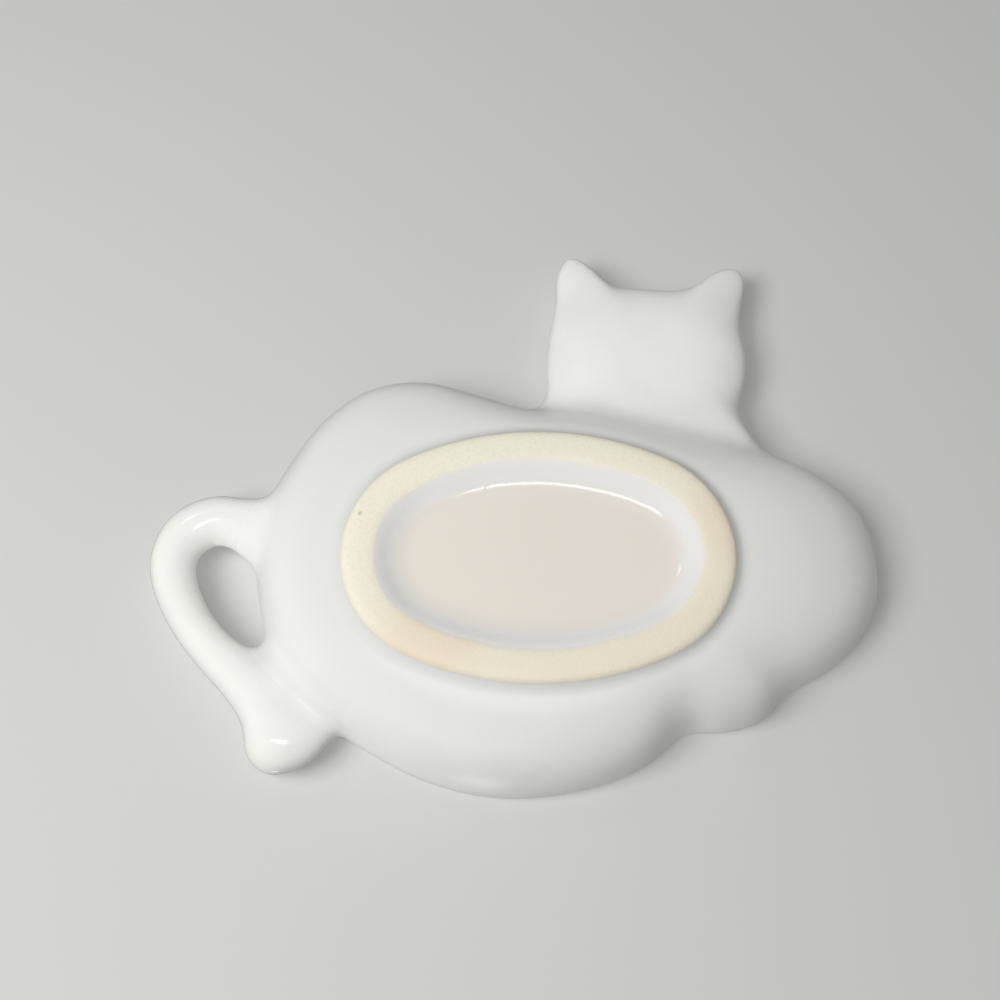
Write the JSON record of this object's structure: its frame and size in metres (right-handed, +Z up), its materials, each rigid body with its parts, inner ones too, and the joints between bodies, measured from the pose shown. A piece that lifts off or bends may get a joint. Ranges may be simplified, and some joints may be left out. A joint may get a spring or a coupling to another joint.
{
  "type": "tea bag rest",
  "caption": "Shallow glazed dish shaped like a lying cat, with an eared head at the rim, a looped tail as a handle and an oval foot ring, for holding a used tea bag.",
  "frame": {"origin": "middle of the part's bounding box at the height of the table, under the foot ring's standing face", "axes": "+X from the chest to the tail, +Y from the belly to the head, +Z up out of the well"},
  "size_m": [0.1201, 0.0958, 0.02],
  "materials": {
    "white_glaze": "gloss",
    "bare_clay": "matte"
  },
  "bodies": {
    "root": {"dish": "white_glaze", "head": "white_glaze", "tail_handle": "white_glaze", "foot_ring": "bare_clay"}
  },
  "joints": []
}
